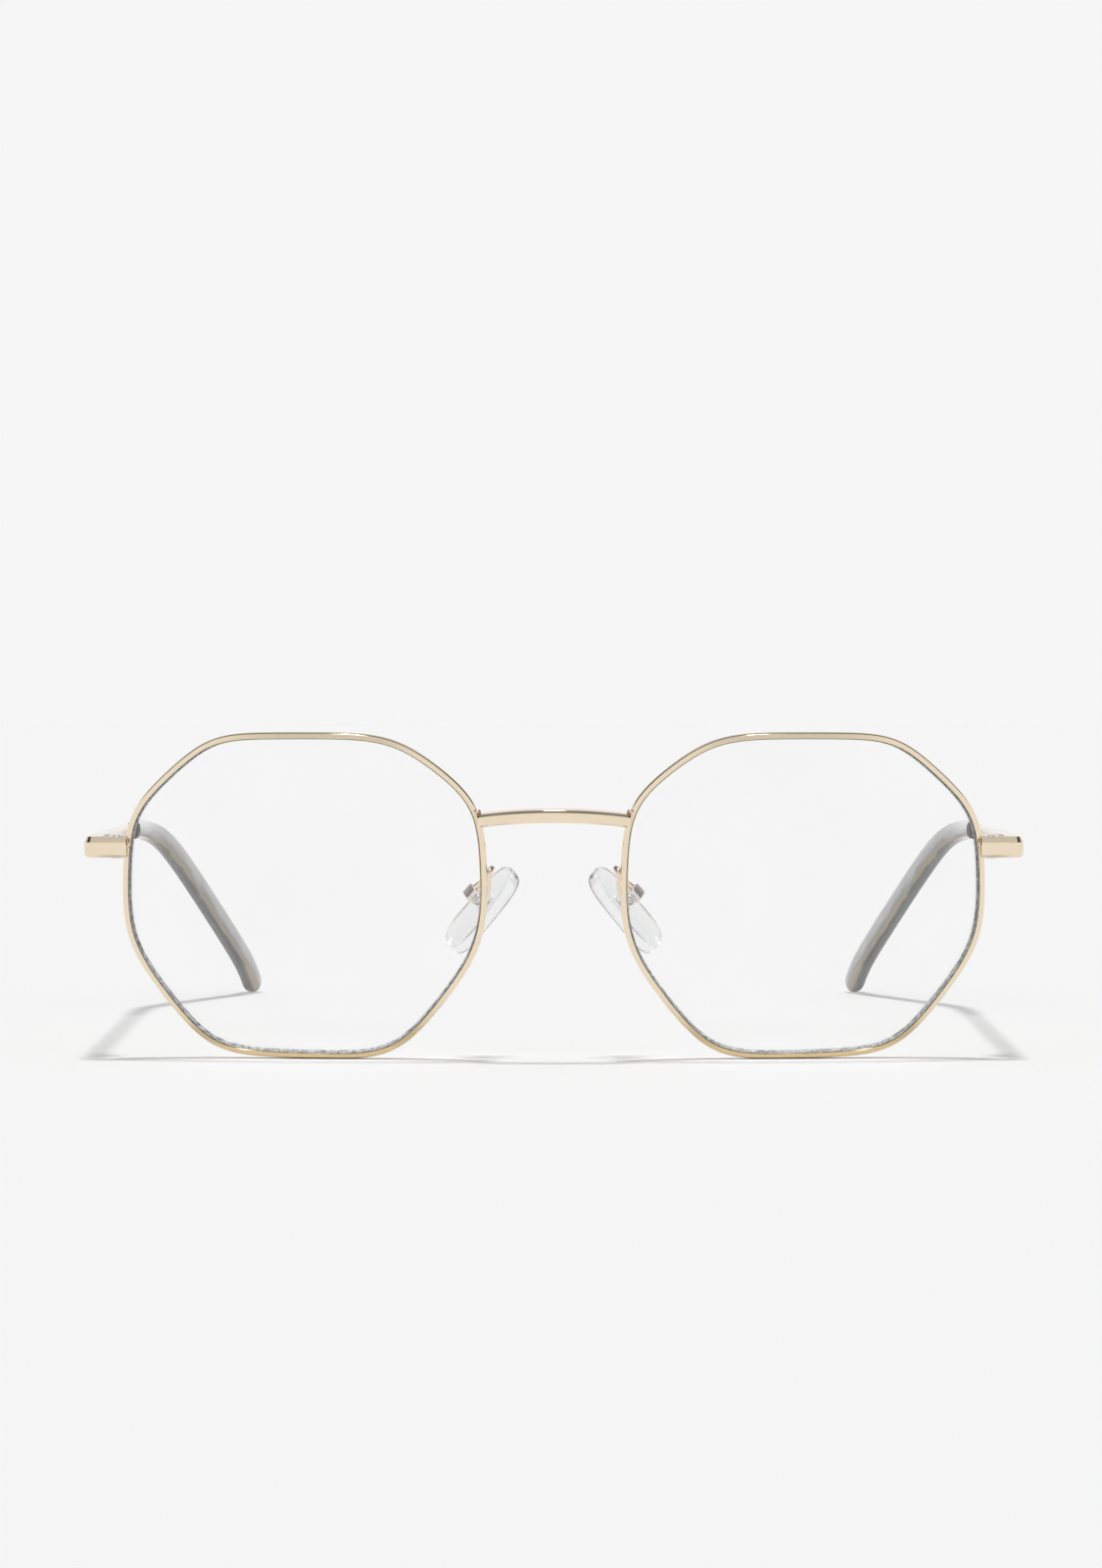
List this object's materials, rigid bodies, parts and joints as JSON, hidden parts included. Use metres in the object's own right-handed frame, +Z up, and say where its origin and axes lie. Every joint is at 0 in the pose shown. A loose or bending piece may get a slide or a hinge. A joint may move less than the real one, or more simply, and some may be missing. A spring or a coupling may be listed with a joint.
{
  "type": "octagonal eyeglasses",
  "caption": "Pale gold metal eyeglasses with octagonal clear lenses, arched bridge, adjustable nose pads and folding temples with translucent tips.",
  "frame": {"origin": "centre of the base of the bounding box, on the table that the lower rims and the temple tips stand on", "axes": "+X to the wearer's left, +Y back from the front to the temple tips, +Z up"},
  "size_m": [0.138, 0.1464, 0.0467],
  "materials": {
    "gold": "polished pale gold plating",
    "steel": "turned",
    "lens": "clear, polished",
    "tip": "translucent, smoky with tan streaks",
    "pad": "clear, soft"
  },
  "bodies": {
    "front": {"rim_left": "gold", "rim_right": "gold", "bridge": "gold", "lens_left": "lens", "lens_right": "lens", "endpiece_left": "gold", "endpiece_right": "gold", "closing_block_upper_left": "gold", "closing_block_upper_right": "gold", "closing_block_lower_left": "gold", "closing_block_lower_right": "gold", "closing_screw_left": "steel", "closing_screw_right": "steel", "hinge_front_left": "gold", "hinge_front_right": "gold", "hinge_screw_left": "steel", "hinge_screw_right": "steel", "pad_arm_left": "gold", "pad_arm_right": "gold", "pad_box_left": "gold", "pad_box_right": "gold", "pad_screw_left": "steel", "pad_screw_right": "steel"},
    "temple_left": {"hinge_temple_left": "gold", "temple_left": "gold", "temple_tip_left": "tip"},
    "pad_left": {"nose_pad_left": "pad", "pad_mount_left": "steel"},
    "temple_right": {"hinge_temple_right": "gold", "temple_right": "gold", "temple_tip_right": "tip"},
    "pad_right": {"nose_pad_right": "pad", "pad_mount_right": "steel"}
  },
  "joints": [
    {"name": "temple_fold_left", "type": "hinge", "parent": "front", "child": "temple_left", "pos_m": [0.06348, -0.05914, 0.03035], "axis": [0, -0.165, 0.9863], "range_deg": [0, 90]},
    {"name": "temple_fold_right", "type": "hinge", "parent": "front", "child": "temple_right", "pos_m": [-0.06348, -0.05914, 0.03035], "axis": [0, 0.165, -0.9863], "range_deg": [0, 87.5]},
    {"name": "pad_rock_left", "type": "hinge", "parent": "front", "child": "pad_left", "pos_m": [0.0112, -0.06188, 0.02334], "axis": [0.3116, 0.8579, 0.4086], "range_deg": [-10, 10]},
    {"name": "pad_rock_right", "type": "hinge", "parent": "front", "child": "pad_right", "pos_m": [-0.0112, -0.06188, 0.02334], "axis": [0.3116, -0.8579, -0.4086], "range_deg": [-10, 10]}
  ]
}
